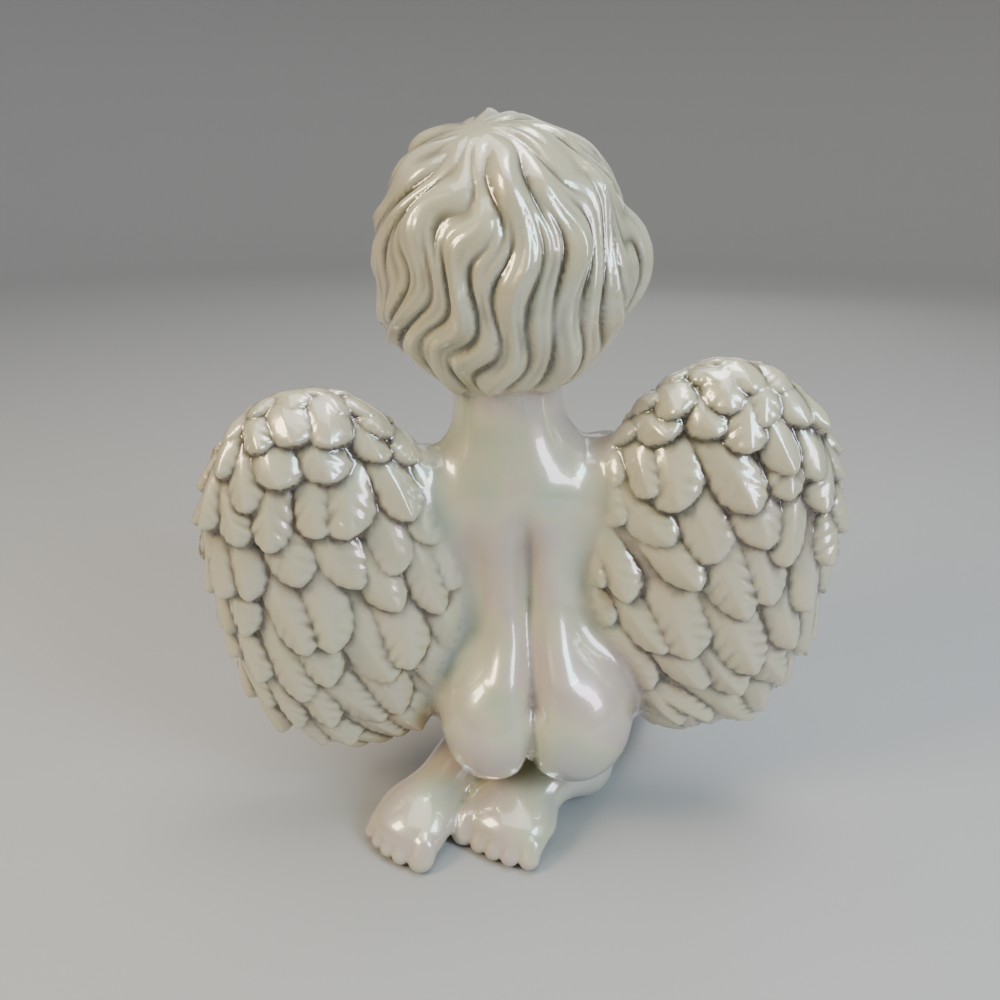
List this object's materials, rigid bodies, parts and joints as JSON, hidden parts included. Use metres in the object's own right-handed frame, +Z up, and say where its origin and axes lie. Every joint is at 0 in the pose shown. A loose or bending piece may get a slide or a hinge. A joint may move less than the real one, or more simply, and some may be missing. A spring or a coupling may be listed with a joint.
{
  "type": "angel figurine",
  "caption": "Kneeling winged child figurine, slip-cast and glazed in one piece, that rests on its flat underside.",
  "frame": {"origin": "on the flat underside, between the shins, where the figurine stands on a shelf", "axes": "+Z up, +Y the way the figure faces, so its back and the backs of its wings look to -Y; +X towards the figure's right-hand side"},
  "size_m": [0.2129, 0.1123, 0.2414],
  "materials": {
    "pearl_glaze": "high-gloss cream-white glaze with a mother-of-pearl lustre"
  },
  "bodies": {
    "root": {"angel_figurine": "pearl_glaze"}
  },
  "joints": []
}
